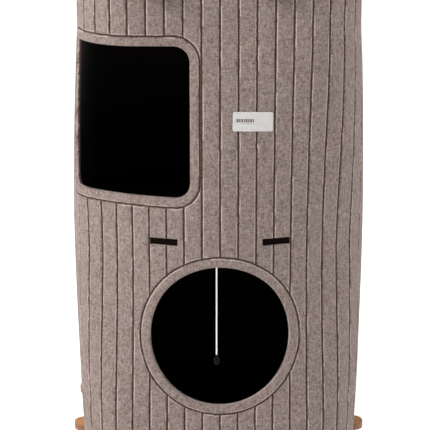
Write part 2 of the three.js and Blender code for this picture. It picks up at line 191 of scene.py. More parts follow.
def tongue_middles():
    """Runs of a plate's eight tongues along the sheet."""
    middles = []
    for hand in (-1, 1):
        middles += [hand * FRONT_TONGUE_OFFSET, hand * (ROUND / 2 - FRONT_TONGUE_OFFSET)]
        middles += [hand * (ROUND / 4 - SIDE_TONGUE_OFFSET), hand * (ROUND / 4 + SIDE_TONGUE_OFFSET)]
    return sorted(middles)


def seam_screw_places():
    """Name, run and height of each screw through the back seam."""
    places = []
    for part, (low, high) in STRIPS_BEHIND_SEAM.items():
        two_rows = high - low > 3 * SEAM_SCREW_INSET
        heights = [low + SEAM_SCREW_INSET, high - SEAM_SCREW_INSET] if two_rows else [(low + high) / 2]
        for row, z in enumerate(heights, 1):
            for side, hand in (("left", -1), ("right", 1)):
                places.append((f"{part}_{row}_{side}", hand * (ROUND / 2 - SEAM_SCREW_OFFSET), z))
    return places


# ---- Materials ----
COLOUR_A = 6  # the colour sockets of a Mix node, which has one set for each kind of value
COLOUR_B = 7
COLOUR_OUT = 2
WHITE = (1, 1, 1, 1)


def colour(red, green, blue):
    """A screen colour, each part from 0 to 255, as the linear colour that shaders take."""
    parts = [c / 255 for c in (red, green, blue)]
    return (*[c / 12.92 if c <= 0.04045 else ((c + 0.055) / 1.055) ** 2.4 for c in parts], 1.0)


class Nodes:
    """Short calls to build a node tree."""

    def __init__(self, tree):
        self.tree = tree

    def add(self, kind, values=None, **settings):
        node = self.tree.nodes.new(kind)
        for key, value in settings.items():
            setattr(node, key, value)
        for key, value in (values or {}).items():
            self.feed(value, node.inputs[key])
        return node

    def feed(self, value, socket):
        if isinstance(value, bpy.types.NodeSocket):
            self.tree.links.new(value, socket)
        else:
            socket.default_value = value

    def math(self, operation, a, b=0.0):
        return self.add("ShaderNodeMath", {0: a, 1: b}, operation=operation).outputs[0]

    def plus(self, a, b):
        return self.math("ADD", a, b)

    def minus(self, a, b):
        return self.math("SUBTRACT", a, b)

    def times(self, a, b):
        return self.math("MULTIPLY", a, b)

    def most(self, a, b):
        return self.math("MAXIMUM", a, b)

    def magnitude(self, a):
        return self.math("ABSOLUTE", a)

    def mix(self, share, a, b):
        node = self.add("ShaderNodeMix", {"Factor": share, COLOUR_A: a, COLOUR_B: b}, data_type="RGBA")
        return node.outputs[COLOUR_OUT]

    def noise(self, vector, scale, detail=3.0, roughness=0.55):
        values = {"Vector": vector, "Scale": scale, "Detail": detail, "Roughness": roughness}
        return self.add("ShaderNodeTexNoise", values).outputs["Fac"]

    def stretch(self, vector, scale, turn=(0, 0, 0)):
        values = {"Vector": vector, "Rotation": turn, "Scale": scale}
        return self.add("ShaderNodeMapping", values).outputs[0]

    def ramp(self, value, low, high):
        values = {"Value": value, "From Min": low, "From Max": high}
        return self.add("ShaderNodeMapRange", values).outputs[0]

    def place(self):
        return self.add("ShaderNodeTexCoord").outputs["Object"]

    def attribute(self, name):
        return self.add("ShaderNodeAttribute", attribute_name=name).outputs["Fac"]

    def effect(self, group, **values):
        return self.add("ShaderNodeGroup", values, node_tree=group).outputs

    def bump(self, shader, height, strength, distance):
        values = {"Height": height, "Strength": strength, "Distance": distance}
        self.feed(self.add("ShaderNodeBump", values).outputs["Normal"], shader.inputs["Normal"])


def new_group(name, inputs, outputs):
    """An effect with a Place input, inputs with their usual values, and outputs that are all values."""
    group = bpy.data.node_groups.new(name, "ShaderNodeTree")
    group.interface.new_socket("Place", in_out="INPUT", socket_type="NodeSocketVector")
    for label, value in inputs.items():
        made = group.interface.new_socket(label, in_out="INPUT", socket_type="NodeSocketFloat")
        made.default_value = value
    for label in outputs:
        group.interface.new_socket(label, in_out="OUTPUT", socket_type="NodeSocketFloat")
    nodes = Nodes(group)
    return group, nodes, nodes.add("NodeGroupInput").outputs, nodes.add("NodeGroupOutput").inputs


def fibre_group():
    """Pressed fibres: blotches, a fine mottle and long stray hairs."""
    group, n, given, out = new_group(
        "pressed_fibres", {"Blotch": 130.0, "Fine": 700.0}, ("Mottle", "Warmth", "Height"))
    place = given["Place"]
    blotch = n.noise(place, given["Blotch"], detail=4.0, roughness=0.62)
    fine = n.noise(place, given["Fine"], detail=3.0, roughness=0.7)
    slant = n.stretch(place, (1, 1, 0.18), turn=(0.6, 0.5, 0.7))
    hair = n.noise(slant, 620.0, detail=2.0, roughness=0.5)
    other_slant = n.stretch(place, (0.2, 1, 1), turn=(-0.7, 0.4, -0.6))
    cross_hair = n.noise(other_slant, 540.0, detail=2.0, roughness=0.5)
    hairs = n.times(n.plus(hair, cross_hair), 0.5)
    fibres = n.plus(n.times(fine, 0.45), n.times(hairs, 0.55))
    mottle = n.plus(n.times(blotch, 0.3), n.times(fibres, 0.7))
    warmth = n.noise(place, 32.0, detail=3.0, roughness=0.6)
    n.feed(n.ramp(mottle, low=0.39, high=0.61), out["Mottle"])
    n.feed(n.ramp(warmth, low=0.35, high=0.65), out["Warmth"])
    n.feed(fibres, out["Height"])
    return group


def weave_group():
    """Plain weave of threads in two directions."""
    group, n, given, out = new_group("plain_weave", {"Threads": 900.0}, ("Thread", "Height"))
    waves = []
    for axis in ("X", "Y"):
        values = {"Vector": given["Place"], "Scale": given["Threads"], "Distortion": 0.6, "Detail": 1.0}
        wave = n.add("ShaderNodeTexWave", values, wave_type="BANDS", bands_direction=axis)
        waves.append(wave.outputs["Fac"])
    n.feed(n.times(n.plus(*waves), 0.5), out["Thread"])
    n.feed(n.most(*waves), out["Height"])
    return group


def wear_group():
    """A soft scatter of dust and rub marks."""
    group, n, given, out = new_group("handling_wear", {"Size": 60.0}, ("Mark",))
    scatter = n.noise(given["Place"], given["Size"], detail=5.0, roughness=0.7)
    n.feed(n.ramp(scatter, low=0.45, high=0.75), out["Mark"])
    return group


def groove_group():
    """A burnt groove with a wandering edge, and a painted highlight along one side of it or the other, a
    lighter band that stands in for the groove's lit wall.
    Beside is the run from the groove's middle, from -1 to 1, and Near is 0 where it doesn't count."""
    group, n, given, out = new_group("cut_groove", {"Beside": 1.0, "Near": 0.0}, ("Burnt", "Painted highlight"))
    place = given["Place"]
    wander = n.times(n.minus(n.noise(place, 170.0, roughness=0.65), 0.5), 0.9)
    beside = n.plus(given["Beside"], wander)
    away = n.magnitude(beside)
    ragged = n.ramp(n.noise(place, 420.0, detail=2.0, roughness=0.6), low=0.3, high=0.7)
    half_width = n.plus(n.times(ragged, 0.3), 0.22)
    fading_out = n.ramp(n.magnitude(given["Beside"]), low=1.0, high=0.85)
    close = n.times(fading_out, given["Near"])
    burnt = n.ramp(n.minus(away, half_width), low=0.16, high=-0.1)
    n.feed(n.times(burnt, close), out["Burnt"])
    side = n.ramp(n.noise(place, 22.0, detail=1.0), low=0.47, high=0.53)
    left_or_right = n.minus(n.times(side, 2.0), 1.0)
    leaning = n.ramp(n.times(beside, left_or_right), low=-0.3, high=0.3)
    # Painted highlight: a lighter band just beside the groove, on one side, where the lit wall would
    # catch the light.
    highlight_band = n.ramp(n.magnitude(n.minus(away, 0.62)), low=0.34, high=0.1)
    lip_highlight = n.times(highlight_band, n.plus(n.times(ragged, 0.6), 0.4))
    n.feed(n.times(n.times(lip_highlight, leaning), close), out["Painted highlight"])
    return group


PRESSED_FIBRES = fibre_group()
CUT_GROOVE = groove_group()
PLAIN_WEAVE = weave_group()
HANDLING_WEAR = wear_group()


def new_material(name, roughness, metallic=0.0, **constants):
    material = bpy.data.materials.new(name)
    material.use_nodes = True
    shader = material.node_tree.nodes["Principled BSDF"]
    shader.inputs["Roughness"].default_value = roughness
    shader.inputs["Metallic"].default_value = metallic
    for key, value in constants.items():
        shader.inputs[key.replace("_", " ")].default_value = value
    return material, Nodes(material.node_tree), shader


def felt_material(name, dark, mid, light, engraved=False):
    """Pressed felt in three tones, with its burnt grooves and, beside them, a painted highlight where it
    is engraved.
    """
    material, n, shader = new_material(
        name, roughness=1.0, Sheen_Weight=0.08, Sheen_Roughness=0.6, Specular_IOR_Level=0.05)
    place = n.place()
    pressed = n.effect(PRESSED_FIBRES, Place=place, Blotch=260.0, Fine=560.0)
    base = n.mix(n.times(pressed["Warmth"], 0.6), n.mix(0.5, dark, light), mid)
    base = n.mix(pressed["Mottle"], n.mix(0.75, base, dark), n.mix(0.7, base, light))
    if engraved:
        ring = n.effect(CUT_GROOVE, Place=place, Beside=n.attribute("beside_ring"), Near=1.0)
        upright = n.effect(CUT_GROOVE, Place=place, Beside=n.attribute("beside_groove"),
                           Near=n.attribute("near_groove"))
        lip_highlight = n.most(ring["Painted highlight"], upright["Painted highlight"])
        burnt = n.most(ring["Burnt"], upright["Burnt"])
        # Painted highlight beside each groove, then the burnt groove itself.
        base = n.mix(n.times(lip_highlight, 0.75), base, colour(184, 169, 162))
        base = n.mix(n.times(burnt, 0.92), base, colour(66, 46, 38))
    n.feed(base, shader.inputs["Base Color"])
    n.bump(shader, pressed["Height"], strength=0.8, distance=0.0016)
    return material


def plywood_material(name, face_dark, face_light, edge_dark, edge_light, shine=0.5):
    """Birch plywood: grain and pores on its faces, plies on its edges."""
    material, n, shader = new_material(name, roughness=0.55, Specular_IOR_Level=shine)
    place = n.place()
    grain = n.noise(n.stretch(place, (6, 90, 6)), 5.0, detail=6.0, roughness=0.65)
    pores = n.noise(n.stretch(place, (25, 600, 25)), 4.0, detail=3.0, roughness=0.6)
    face = n.mix(n.ramp(grain, low=0.3, high=0.7), face_dark, face_light)
    face = n.mix(n.times(n.ramp(pores, low=0.62, high=0.8), 0.8), face, edge_dark)
    height = n.add("ShaderNodeSeparateXYZ", {"Vector": place}).outputs["Z"]
    plies = n.math("PINGPONG", n.times(height, 1 / MM), 1.3)
    edge = n.mix(n.ramp(plies, low=0.35, high=0.9), edge_dark, edge_light)
    edge = n.mix(n.times(n.noise(place, 300.0), 0.5), edge, edge_dark)
    normal = n.add("ShaderNodeNewGeometry").outputs["Normal"]
    upward = n.magnitude(n.add("ShaderNodeSeparateXYZ", {"Vector": normal}).outputs["Z"])
    n.feed(n.mix(n.ramp(upward, low=0.5, high=0.8), edge, face), shader.inputs["Base Color"])
    n.feed(n.ramp(grain, low=-0.6, high=1.6), shader.inputs["Roughness"])
    n.bump(shader, n.plus(grain, pores), strength=0.25, distance=0.0006)
    return material


def worn_material(name, clean, marked, roughness, metallic=0.0, depth=0.0002):
    """Plain moulded or plated stuff with marks and a faint texture."""
    material, n, shader = new_material(name, roughness, metallic)
    place = n.place()
    mark = n.effect(HANDLING_WEAR, Place=place, Size=60.0)["Mark"]
    n.feed(n.mix(mark, clean, marked), shader.inputs["Base Color"])
    values = {"Value": mark, "To Min": roughness, "To Max": roughness + 0.2}
    n.feed(n.add("ShaderNodeMapRange", values).outputs[0], shader.inputs["Roughness"])
    n.bump(shader, n.noise(place, 900.0), strength=0.3, distance=depth)
    return material


def cloth_material(name, dark, light, threads, depth=0.0001):
    """Woven cloth, from dark between its threads to light on top of them."""
    material, n, shader = new_material(name, roughness=0.9, Sheen_Weight=0.3)
    place = n.place()
    weave = n.effect(PLAIN_WEAVE, Place=place, Threads=threads)
    blotch = n.ramp(n.noise(place, 120.0, detail=4.0, roughness=0.6), low=0.3, high=0.7)
    share = n.plus(n.times(weave["Thread"], 0.6), n.times(blotch, 0.4))
    n.feed(n.mix(share, dark, light), shader.inputs["Base Color"])
    n.bump(shader, weave["Height"], strength=0.5, distance=depth)
    return material


def cord_material():
    """White cotton whose glow is painted: a faint emission that stands in for the light the cord catches
    and passes through its loose fibres.
    """
    material, n, shader = new_material("white_cotton_cord", roughness=0.9, Sheen_Weight=0.3)
    fibre = n.noise(n.place(), 1500.0, detail=3.0, roughness=0.6)
    lightness = n.ramp(fibre, low=0.3, high=0.7)
    n.feed(n.mix(lightness, colour(232, 229, 224), colour(252, 251, 249)), shader.inputs["Base Color"])
    # Painted light: the cord glows though it is no lamp.
    shader.inputs["Emission Color"].default_value = WHITE
    shader.inputs["Emission Strength"].default_value = 0.3
    n.bump(shader, fibre, strength=0.5, distance=0.0004)
    return material


FELT_OUTER = felt_material(
    "taupe_felt", colour(66, 54, 48), colour(119, 97, 88), colour(155, 140, 134), engraved=True)
# Painted shade: the felt's inner face and the closing strips are darkened to near black for the dim
# inside of the tower.
INNER_FELT_PAINTED_SHADE = felt_material("inner_felt_painted_shade", colour(30, 23, 20), colour(36, 28, 25), colour(46, 38, 35))
TOY_FELT = felt_material("brown_wool_felt", colour(14, 7, 4), colour(26, 13, 8), colour(36, 20, 13))
PLYWOOD = plywood_material(
    "oiled_birch_plywood", colour(158, 104, 62), colour(206, 154, 106), colour(98, 58, 34),
    colour(160, 108, 68))
# Painted shade: plywood darkened to near black for the plate faces inside the tower and for the
# undersides of the top plate's tongues.
PLYWOOD_PAINTED_SHADE = plywood_material(
    "plywood_painted_shade", colour(17, 12, 9), colour(30, 22, 17), colour(12, 8, 6),
    colour(22, 15, 11), shine=0.05)
# The middle shelf's wood: its edge is laser-scorched, and it is also darkened further to near black,
# painted shade for the deep slots and the dim inside.
SCORCHED_AND_SHADED_PLYWOOD = plywood_material(
    "scorched_plywood_painted_shade", colour(17, 12, 9), colour(30, 22, 17), colour(3, 2, 1),
    colour(24, 12, 7), shine=0.02)
ZINC = worn_material("satin_zinc", colour(196, 196, 200), colour(150, 150, 154), 0.32, metallic=1.0)
BLACKENED = worn_material("blackened_steel", colour(18, 17, 17), colour(30, 28, 27), 0.6, metallic=1.0)
RUBBER = worn_material("dark_rubber", colour(40, 38, 36), colour(62, 60, 56), 0.75, depth=0.0004)
LABEL_THREADS = 2600.0
LABEL_CLOTH = cloth_material(
    "white_label_cloth", colour(164, 161, 159), colour(194, 192, 190), LABEL_THREADS)
LABEL_INK = cloth_material("grey_label_weave", colour(74, 60, 54), colour(112, 98, 92), LABEL_THREADS)
LABEL_FAINT = cloth_material(
    "pale_label_weave", colour(140, 130, 126), colour(168, 160, 156), LABEL_THREADS)
CUSHION_CLOTH = cloth_material(
    "cushion_cover", colour(112, 101, 95), colour(158, 147, 140), 1300.0, depth=0.0005)
PIPING_CLOTH = cloth_material(
    "cushion_piping", colour(84, 74, 69), colour(116, 105, 98), 1500.0, depth=0.0003)
CORD = cord_material()


# ---- Mesh helpers ----
def new_object(name, vertices, faces, material, sharp=None):
    """A smooth-shaded piece; edges over the angle sharp, in degrees, stay crisp."""
    mesh = bpy.data.meshes.new(name)
    mesh.from_pydata(vertices, [], faces)
    mesh.validate()
    mesh.update()
    piece = bpy.data.objects.new(name, mesh)
    bpy.context.scene.collection.objects.link(piece)
    mesh.materials.append(material)
    mesh.shade_smooth()
    if sharp is not None:
        mesh.set_sharp_from_angle(angle=math.radians(sharp))
    return piece


def settle(piece, body, slot, *nodes):
    """Puts a piece on its body, in place of the nodes that it stands for; slot is not used."""
    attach(piece, body)
    if nodes:
        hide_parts(*nodes)
    return piece


def turned(name, profile, material, sides=48, sharp=35):
    """A piece turned about +Z. The profile runs from the axis, lowest first, back to the axis, or,
    where it starts off the axis, it closes on itself. A third value makes a ring a polygon of as
    many flats."""
    vertices, rings = [], []
    for r, z, *flats in profile:
        if r == 0:
            rings.append([len(vertices)] * sides)
            vertices.append((0, 0, z))
            continue
        rings.append(list(range(len(vertices), len(vertices) + sides)))
        for i in range(sides):
            a = 2 * math.pi * i / sides
            reach = r
            if flats:
                sector = math.pi / flats[0]
                reach = r * math.cos(sector) / math.cos((a % (2 * sector)) - sector)
            vertices.append((reach * math.cos(a), reach * math.sin(a), z))
    if profile[0][0] > 0:
        rings.append(rings[0])
    faces = []
    for below, above in zip(rings, rings[1:]):
        for i in range(sides):
            j = (i + 1) % sides
            ring = list(dict.fromkeys((below[i], below[j], above[j], above[i])))
            if len(ring) > 2:
                faces.append(ring)
    return new_object(name, vertices, faces, material, sharp)


def tube(path, radius, closed, sides=8):
    """Vertices and faces of a round tube along a path."""
    count = len(path)
    middle = sum(path, Vector()) / count
    vertices, faces = [], []
    for i, point in enumerate(path):
        after = path[(i + 1) % count] if closed or i + 1 < count else point
        before = path[i - 1] if closed or i > 0 else point
        along = (after - before).normalized()
        aside = (point - middle).cross(along)
        if aside.length < TINY:
            aside = along.orthogonal()
        aside = along.cross(aside.normalized())
        over = along.cross(aside)
        for j in range(sides):
            a = 2 * math.pi * j / sides
            vertices.append(point + radius * (math.cos(a) * aside + math.sin(a) * over))
    for i in range(count if closed else count - 1):
        here, there = i * sides, (i + 1) % count * sides
        for j in range(sides):
            k = (j + 1) % sides
            faces.append((here + j, here + k, there + k, there + j))
    if not closed:
        faces.append(tuple(reversed(range(sides))))
        faces.append(tuple(range((count - 1) * sides, count * sides)))
    return vertices, faces


def tubes(name, paths, radius, closed, material, sides=8):
    """One piece made of several round tubes."""
    vertices, faces = [], []
    for path in paths:
        more, rings = tube(path, radius, closed, sides)
        faces += [tuple(v + len(vertices) for v in ring) for ring in rings]
        vertices += more
    piece = new_object(name, vertices, faces, material, sharp=60)
    shape = bmesh.new()
    shape.from_mesh(piece.data)
    bmesh.ops.recalc_face_normals(shape, faces=shape.faces)
    shape.to_mesh(piece.data)
    shape.free()
    return piece


def strands(line, across, reach, turns):
    """Paths of strands twisted round a line; across gives two crosswise directions at a share."""
    paths = []
    for strand in range(STRANDS):
        path = []
        for i, point in enumerate(line):
            share = i / (len(line) - 1)
            first, second = across(share)
            a = 2 * math.pi * (turns * share + strand / STRANDS)
            path.append(point + reach * (math.cos(a) * first + math.sin(a) * second))
        paths.append(path)
    return paths


def torus(name, radius, wire, material, rings, sides):
    """A ring about the X axis, standing upright in the YZ plane."""
    vertices = []
    for i in range(rings):
        a = 2 * math.pi * i / rings
        for j in range(sides):
            b = 2 * math.pi * j / sides
            reach = radius + wire * math.cos(b)
            vertices.append((wire * math.sin(b), reach * math.cos(a), reach * math.sin(a)))
    faces = []
    for i in range(rings):
        for j in range(sides):
            here, there = i * sides, (i + 1) % rings * sides
            faces.append((here + j, there + j, there + (j + 1) % sides, here + (j + 1) % sides))
    return new_object(name, vertices, faces, material)


def move_mesh(piece, matrix):
    piece.data.transform(matrix)
    piece.data.update()
    return piece


# ---- Felt sheet ----
class BoxCut:
    """A box with round corners, cut in the flat sheet."""

    def __init__(self, s, z, half_s, half_z, radius, steps=8):
        self.middle, self.half, self.radius, self.steps = (s, z), (half_s, half_z), radius, steps

    def distance(self, s, z):
        """Signed distance to the edge of the cut; negative inside it."""
        ds = abs(s - self.middle[0]) - (self.half[0] - self.radius)
        dz = abs(z - self.middle[1]) - (self.half[1] - self.radius)
        return math.hypot(max(ds, 0), max(dz, 0)) + min(max(ds, dz), 0) - self.radius

    def loop(self, grow=0.0):
        points = []
        for corner in range(4):
            cs = (self.half[0] - self.radius) * (1 if corner in (0, 3) else -1)
            cz = (self.half[1] - self.radius) * (1 if corner < 2 else -1)
            for i in range(self.steps + 1):
                a = math.pi / 2 * (corner + i / self.steps)
                reach = self.radius + grow
                points.append((self.middle[0] + cs + reach * math.cos(a),
                               self.middle[1] + cz + reach * math.sin(a)))
        return points


class RoundCut:
    """A round or slightly tall opening, cut in the flat sheet."""

    def __init__(self, s, z, half_s, half_z, sides):
        self.middle, self.half, self.sides = (s, z), (half_s, half_z), sides

    def distance(self, s, z):
        """Distance to the edge of the cut, near enough for a cut that is almost round."""
        ds, dz = s - self.middle[0], z - self.middle[1]
        share = math.hypot(ds / self.half[0], dz / self.half[1])
        return (1 - 1 / share) * math.hypot(ds, dz) if share > TINY else -min(self.half)

    def loop(self, grow=0.0):
        angles = [2 * math.pi * i / self.sides for i in range(self.sides)]
        return [(self.middle[0] + (self.half[0] + grow) * math.cos(a),
                 self.middle[1] + (self.half[1] + grow) * math.sin(a)) for a in angles]


ENTRANCE_SIDES = 96
WINDOW_CORNER_STEPS = 12
SLOT_CORNER = 0.8 * MM
SLOT_CORNER_STEPS = 2
HOLE_SIDES = 16
ENTRANCE = RoundCut(
    0, BASE_TOP + ENTRANCE_RISE, ENTRANCE_HALF_WIDTH, ENTRANCE_HALF_HEIGHT, ENTRANCE_SIDES,
)
WINDOW = BoxCut(
    (WINDOW_START + WINDOW_END) / 2, SHELF_TOP + WINDOW_SILL + WINDOW_HEIGHT / 2,
    (WINDOW_END - WINDOW_START) / 2, WINDOW_HEIGHT / 2, WINDOW_CORNER, WINDOW_CORNER_STEPS,
)
SLOTS = []
for slot_top in (BASE_TOP, SHELF_TOP, TOP_PLATE_TOP):
    for slot_s in tongue_middles():
        open_slot = slot_top == SHELF_TOP and abs(slot_s) == FRONT_TONGUE_OFFSET
        wider, taller = (OPEN_SLOT_PLAY, OPEN_SLOT_FIT) if open_slot else (SLOT_FIT, SLOT_FIT)
        SLOTS.append(BoxCut(
            slot_s, slot_top - PLATE / 2, TONGUE_WIDTH / 2 + wider, PLATE / 2 + taller,
            SLOT_CORNER, SLOT_CORNER_STEPS,
        ))
SCREW_HOLES = [
    RoundCut(s, z, SEAM_HOLE, SEAM_HOLE, HOLE_SIDES) for _, s, z in seam_screw_places()
]
ENTRANCE_BAND = 14.2 * MM
WINDOW_BAND = 13.5 * MM
GROOVE_HALF = 1.9 * MM
GROOVE_DEPTH = 2.2 * MM
LIP = 3.4 * MM
LIP_DIP = 0.3 * MM
EDGE_ROUND = 1.3 * MM
EDGE_LOSS = 0.7  # share of a rim's rounding that its edge draws back by
BAND_OVERLAP = 0.1 * MM
GROOVE_REACH = 1.1 * LIP  # where an upright groove stops counting
PLAIN = (0.0, 1.0, 1.0, 0.0)  # what engraving gives far from every groove
SHEET_ROWS = 38
MERGE = 0.001  # points of a layout closer than this are one, in mm
STRIP_ROW = 20 * MM


def engraving(s, z):
    """Depth of the engraving at s, z, the runs from the nearest ring groove and the nearest upright
    groove, in lip widths, and whether the upright one counts there."""
    to_band = min(ENTRANCE.distance(s, z) - ENTRANCE_BAND, WINDOW.distance(s, z) - WINDOW_BAND)
    to_groove = s - STRIP * round(s / STRIP)
    outside = to_band > -BAND_OVERLAP
    away = min(abs(to_band), abs(to_groove)) if outside else abs(to_band)
    lip = max(0.0, 1 - max(0.0, away - GROOVE_HALF) / (LIP - GROOVE_HALF))
    depth = GROOVE_DEPTH * max(0.0, 1 - away / GROOVE_HALF) + LIP_DIP * lip * lip
    near = 1.0 if outside and abs(to_groove) < GROOVE_REACH else 0.0
    return depth, max(-1.0, min(1.0, to_band / LIP)), max(-1.0, min(1.0, to_groove / LIP)), near


def flat_layout(low, high, start, end, cuts, lines_s, lines_z, loops, within=None):
    """Triangles of a flat sheet in s and z that follow every line and loop."""
    points, edges = [], []

    def run(chain, closed):
        first = len(points)
        points.extend((s / MM, z / MM) for s, z in chain)
        edges.extend((first + i, first + i + 1) for i in range(len(chain) - 1))
        if closed:
            edges.append((len(points) - 1, first))

    run([(start, low), (end, low), (end, high), (start, high)], True)
    for s in lines_s:
        run([(s, low), (s, high)], False)
    for z in lines_z:
        run([(start, z), (end, z)], False)
    for loop in loops + [cut.loop() for cut in cuts]:
        run(loop, True)
    made = geometry.delaunay_2d_cdt([Vector(p) for p in points], edges, [], 0, MERGE)
    flat = [(p.x * MM, p.y * MM) for p in made[0]]
    triangles = []
    for a, b, c in made[2]:
        s = (flat[a][0] + flat[b][0] + flat[c][0]) / 3
        z = (flat[a][1] + flat[b][1] + flat[c][1]) / 3
        if within and within.distance(s, z) > 0:
            continue
        if all(cut.distance(s, z) > 0 for cut in cuts):
            triangles.append((a, b, c))
    return flat, triangles


def wrapped_sheet(name, flat, triangles, outer, inner, material, inner_face_shade=None, depth_of=None,
                  rim_round=EDGE_ROUND):
    """Wraps a flat layout into the tube as a closed sheet between two offsets."""
    used = sorted({v for t in triangles for v in t})
    number = {v: i for i, v in enumerate(used)}
    triangles = [tuple(number[v] for v in t) for t in triangles]
    flat = [flat[v] for v in used]
    edges = {}
    for t in triangles:
        for a, b in zip(t, t[1:] + t[:1]):
            edges[(a, b)] = t
    rim = [(a, b) for a, b in edges if (b, a) not in edges]
    on_rim = {v for edge in rim for v in edge}
    count = len(flat)
    front, back, marks = [], [], []
    for i, (s, z) in enumerate(flat):
        depth, *mark = depth_of(s, z) if depth_of else PLAIN
        lost = EDGE_LOSS * rim_round if i in on_rim else 0.0
        front.append(on_sheet(s, z, outer - max(depth, lost)))
        back.append(on_sheet(s, z, inner + lost))
        marks.append(mark)
    faces = [(c + count, b + count, a + count) for a, b, c in triangles]
    inner_faces = len(faces)
    faces += list(triangles)
    faces += [(b, a, a + count, b + count) for a, b in rim]
    piece = new_object(name, front + back, faces, material, sharp=75)
    if inner_face_shade:
        piece.data.materials.append(inner_face_shade)
        # The inner faces take the second material, painted shade for the tower's inside.
        for face in piece.data.polygons[:inner_faces]:
            face.material_index = 1
    for label, values in zip(("beside_ring", "beside_groove", "near_groove"), zip(*marks)):
        layer = piece.data.attributes.new(label, "FLOAT", "POINT")
        layer.data.foreach_set("value", list(values) + [0.0] * count)
    return piece


def build_felt():
    end = ROUND / 2 - SEAM_GAP / 2
    offsets = (-LIP, -GROOVE_HALF, 0, GROOVE_HALF, LIP, STRIP / 3, 2 * STRIP / 3)
    lines_s = [k * STRIP + d for k in range(-STRIPS_ROUND // 2, STRIPS_ROUND // 2 + 2) for d in offsets]
    lines_s = sorted(s for s in lines_s if abs(s) < end - MM)
    lines_s += [-end + EDGE_ROUND, end - EDGE_ROUND]
    lines_z = [lerp(HEM, TOWER_TOP, i / SHEET_ROWS) for i in range(1, SHEET_ROWS)]
    lines_z += [HEM + EDGE_ROUND, TOWER_TOP - EDGE_ROUND]
    cuts = [ENTRANCE, WINDOW] + SLOTS + SCREW_HOLES
    loops = [cut.loop(EDGE_ROUND) for cut in cuts]
    for cut, band in ((ENTRANCE, ENTRANCE_BAND), (WINDOW, WINDOW_BAND)):
        loops += [cut.loop(band + d) for d in (-LIP, -GROOVE_HALF, 0, GROOVE_HALF, LIP)]
    flat, triangles = flat_layout(HEM, TOWER_TOP, -end, end, cuts, lines_s, lines_z, loops)
    felt = wrapped_sheet("felt_sheet", flat, triangles, 0, -FELT, FELT_OUTER, INNER_FELT_PAINTED_SHADE, engraving)
    settle(felt, "tower", "felt", "felt_shell")
    cut_area = math.pi * ENTRANCE_HALF_WIDTH * ENTRANCE_HALF_HEIGHT
    cut_area += (WINDOW_END - WINDOW_START) * WINDOW_HEIGHT


# ---- Plates ----
EDGE_STEP = 6 * MM
TONGUE_CORNER_STEPS = 8
PLATE_BEVEL = 0.7 * MM
PLATE_SHARP = math.radians(50)


def plate_outline(z, reach):
    """Points of the plate's edge, inside the felt, with its tongues out to reach; each says whether
    it belongs to the plate's own edge."""
    half = TONGUE_WIDTH / 2
    edge = -FELT - PLATE_CLEARANCE
    rounding = max(0.0, min(TONGUE_ROUNDING, reach))
    middles = tongue_middles()
    count = int(ROUND / EDGE_STEP)
    points = []
    for i in range(count):
        s = -ROUND / 2 + ROUND * i / count
        if all(abs(s - m) > half + MM for m in middles):
            points.append((s, edge, True))
    quarter = [math.pi / 2 * i / TONGUE_CORNER_STEPS for i in range(TONGUE_CORNER_STEPS + 1)]
    arc = quarter if rounding else [0.0]
    corner = [(half - rounding + rounding * math.cos(a), reach - rounding + rounding * math.sin(a))
              for a in arc]
    for middle in middles:
        points.append((middle - half, edge, True))
        points += [(middle - ds, out, False) for ds, out in corner]
        points += [(middle + ds, out, False) for ds, out in reversed(corner)]
        points.append((middle + half, edge, True))
    points.sort(key=lambda p: p[0])
    return [(on_sheet(s, z, out), kept) for s, out, kept in points]


def build_plate(name, top, reach, node, wood, above, below):
    """A plate with its own wood on the edge and on the tongues' tops and sides, and other materials above
    and below, on the tongues' undersides too; where these are the near-black plywood, they are painted
    shade.
    """
    outline = plate_outline(top - PLATE / 2, reach)
    count = len(outline)
    vertices = [(p.x, p.y, level) for level in (top - PLATE, top) for p, _ in outline]
    body = [i for i, (_, kept) in enumerate(outline) if kept]
    faces = [tuple(reversed(body)), tuple(i + count for i in body)]
    for first, last in zip(body, body[1:]):
        if last - first > 1:
            tongue = range(first, last + 1)
            faces += [tuple(reversed(tongue)), tuple(i + count for i in tongue)]
    flat_faces = len(faces)
    around = list(range(1, count)) + [0]
    faces += [(i, j, j + count, i + count) for i, j in enumerate(around)]
    plate = new_object(name, vertices, faces, wood, sharp=40)
    plate.data.materials.append(above)
    plate.data.materials.append(below)
    plate.data.polygons[1].material_index = 1
    # Every lower face, the tongues' undersides included, takes the material below; on the top plate that
    # is painted shade under its tongues.
    for number in range(0, flat_faces, 2):
        plate.data.polygons[number].material_index = 2
    shape = bmesh.new()
    shape.from_mesh(plate.data)
    rims = [e for e in shape.edges if abs(e.verts[0].co.z - e.verts[1].co.z) < TINY
            and any(abs(f.normal.z) < 0.5 for f in e.link_faces)]
    bmesh.ops.bevel(
        shape, geom=rims, offset=PLATE_BEVEL, segments=2, affect="EDGES", clamp_overlap=True)
    shape.to_mesh(plate.data)
    shape.free()
    plate.data.shade_smooth()
    plate.data.set_sharp_from_angle(angle=PLATE_SHARP)
    return settle(plate, "tower", "plywood", node)


def build_plates():
    # The plates' near-black faces inside the tower, and the shelf's darkened wood, are painted shade.
    build_plate("base_plate_wood", BASE_TOP, TONGUE_REACH, "base_plate",
                PLYWOOD, PLYWOOD_PAINTED_SHADE, PLYWOOD)
    build_plate("middle_shelf_wood", SHELF_TOP, SHELF_TONGUE_REACH, "middle_shelf",
                SCORCHED_AND_SHADED_PLYWOOD, PLYWOOD_PAINTED_SHADE, PLYWOOD_PAINTED_SHADE)
    build_plate("top_plate_wood", TOP_PLATE_TOP, TONGUE_REACH, "top_plate",
                PLYWOOD, PLYWOOD, PLYWOOD_PAINTED_SHADE)


